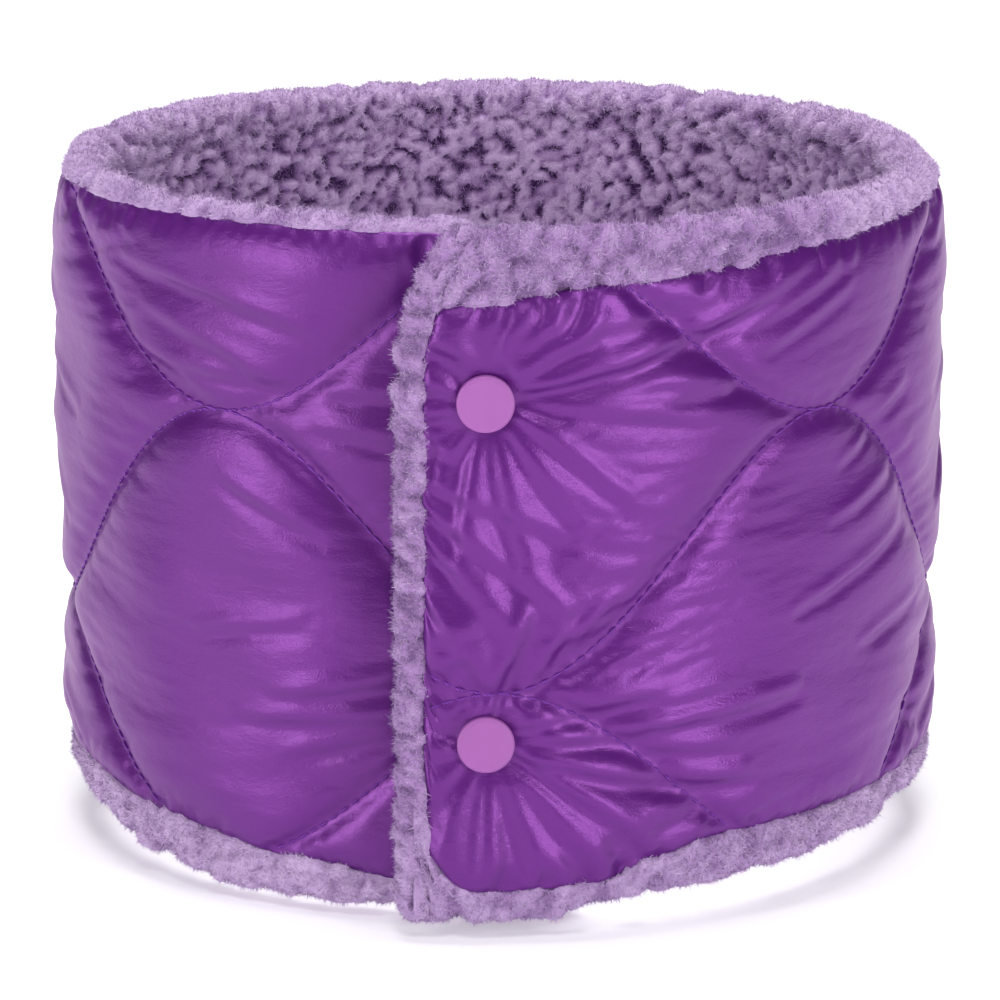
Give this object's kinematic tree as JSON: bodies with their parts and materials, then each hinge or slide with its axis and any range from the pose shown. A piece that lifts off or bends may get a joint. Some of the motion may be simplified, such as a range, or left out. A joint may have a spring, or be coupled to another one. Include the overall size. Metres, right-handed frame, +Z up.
{
  "type": "hand warmer muff",
  "caption": "Quilted nylon band with a thick fleece lining that snaps closed at the front into an open tube for the hands.",
  "frame": {"origin": "middle of the bottom of the part's box, with the tube standing on its lower fleece rim", "axes": "+Z up along the open tube, front with the flap and snap caps towards -Y, flap's free edge towards -X"},
  "size_m": [0.2059, 0.2127, 0.156],
  "materials": {
    "nylon_shell": "glossy down-proof nylon taffeta, quilted",
    "fleece": "curly sherpa fleece",
    "wadding": "loose polyester wadding",
    "thread": "polyester sewing thread",
    "interfacing": "stiff non-woven",
    "snap": "matte moulded acetal"
  },
  "bodies": {
    "back": {"lining_back": "fleece", "wadding_back": "wadding", "shell_back": "nylon_shell", "quilting_back": "thread"},
    "right": {"lining_right": "fleece", "wadding_right": "wadding", "shell_right": "nylon_shell", "quilting_right": "thread"},
    "front": {"lining_front": "fleece", "wadding_front": "wadding", "shell_front": "nylon_shell", "quilting_front": "thread"},
    "flap": {"lining_flap": "fleece", "wadding_flap": "wadding", "shell_flap": "nylon_shell", "quilting_flap": "thread", "patches_flap": "interfacing", "snap_cap_upper": "snap", "snap_cap_lower": "snap", "snap_socket_upper": "snap", "snap_socket_lower": "snap"},
    "underlap": {"lining_underlap": "fleece", "wadding_underlap": "wadding", "shell_underlap": "nylon_shell", "quilting_underlap": "thread", "patches_underlap": "interfacing", "snap_stud_upper": "snap", "snap_stud_lower": "snap", "snap_back_cap_upper": "snap", "snap_back_cap_lower": "snap"}
  },
  "joints": [
    {"name": "band_open", "type": "hinge", "parent": "back", "child": "right", "pos_m": [0.1025, 0.0034, 0], "axis": [0, 0, 1], "range_deg": [0, 45]},
    {"name": "front_fold", "type": "hinge", "parent": "right", "child": "front", "pos_m": [0.08786, -0.05125, 0], "axis": [0, 0, 1], "range_deg": [0, 36]},
    {"name": "flap_peel", "type": "hinge", "parent": "front", "child": "flap", "pos_m": [0.04619, -0.0922, 0], "axis": [0, 0, 1], "range_deg": [0, 85]},
    {"name": "underlap_fold", "type": "hinge", "parent": "back", "child": "underlap", "pos_m": [-0.1025, 0.0034, 0], "axis": [0, 0, 1], "range_deg": [-6, 0]}
  ],
  "couplings": [
    {"joint": "front_fold", "follows": "band_open", "ratio": 0.8},
    {"joint": "underlap_fold", "follows": "band_open", "ratio": -0.12}
  ]
}
